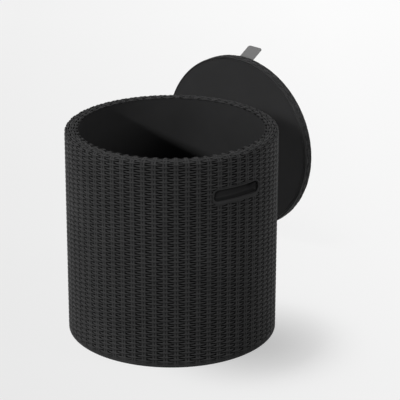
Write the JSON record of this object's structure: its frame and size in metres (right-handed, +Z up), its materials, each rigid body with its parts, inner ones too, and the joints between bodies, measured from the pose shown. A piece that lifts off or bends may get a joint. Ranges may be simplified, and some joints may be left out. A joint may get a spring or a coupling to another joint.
{
  "type": "ice bucket coffee table",
  "caption": "Round double-walled drum in moulded wickerwork with an insulated ice tub, recessed grips, a floor drain, and a loose table-top lid with a pull tab, stood behind it.",
  "frame": {"origin": "on the floor, below the middle of the drum", "axes": "+Z up along the drum's axis; the grips face +X and -X; the lid stands on its edge behind the drum, towards +Y and -X"},
  "size_m": [0.7545, 0.7164, 0.423],
  "materials": {
    "wicker_resin": "satin moulded wickerwork, graphite",
    "tub_resin": "fine satin, graphite",
    "rim_resin": "fine satin, graphite",
    "cup_resin": "fine satin, graphite",
    "foam": "bead foam",
    "base_resin": "fine satin, graphite",
    "screw_steel": "zinc plated",
    "foot_rubber": "matt",
    "drain_resin": "satin",
    "seal_rubber": "matt",
    "plug_resin": "satin",
    "lid_wicker_resin": "satin moulded wickerwork, graphite",
    "lid_resin": "fine satin, graphite",
    "tab_rubber": "matt, mid grey",
    "rivet_aluminium": "satin"
  },
  "bodies": {
    "drum": {"outer_shell": "wicker_resin", "inner_tub": "tub_resin", "rim_ring": "rim_resin", "handle_cup_right": "cup_resin", "handle_cup_left": "cup_resin", "wall_foam": "foam", "floor_foam": "foam", "base_plate": "base_resin", "base_screws": "screw_steel", "foot_1": "foot_rubber", "foot_2": "foot_rubber", "foot_3": "foot_rubber", "foot_4": "foot_rubber", "foot_5": "foot_rubber", "drain_bushing": "drain_resin", "drain_gasket": "seal_rubber", "drain_nut": "drain_resin"},
    "drain_plug": {"drain_plug": "plug_resin", "plug_seal": "seal_rubber"},
    "lid": {"lid_top": "lid_wicker_resin", "lid_panel": "lid_resin", "lid_foam": "foam", "tab_root": "tab_rubber", "tab_clamp": "lid_resin", "tab_rivets": "rivet_aluminium"},
    "pull_tab": {"pull_tab": "tab_rubber"}
  },
  "joints": [
    {"name": "drain_plug_lift", "type": "slide", "parent": "drum", "child": "drain_plug", "axis": [0, 0, 1], "range_m": [0, 0.42]},
    {"name": "lid_lift", "type": "slide", "parent": "drum", "child": "lid", "axis": [0, 0, 1], "range_m": [0, 0.45]},
    {"name": "pull_tab_bend", "type": "hinge", "parent": "lid", "child": "pull_tab", "pos_m": [-0.34219, 0.46711, 0.39487], "axis": [-0.9768, -0.2112, 0.0366], "range_deg": [-55, 70], "stiffness_Nm_per_rad": 0.12}
  ]
}
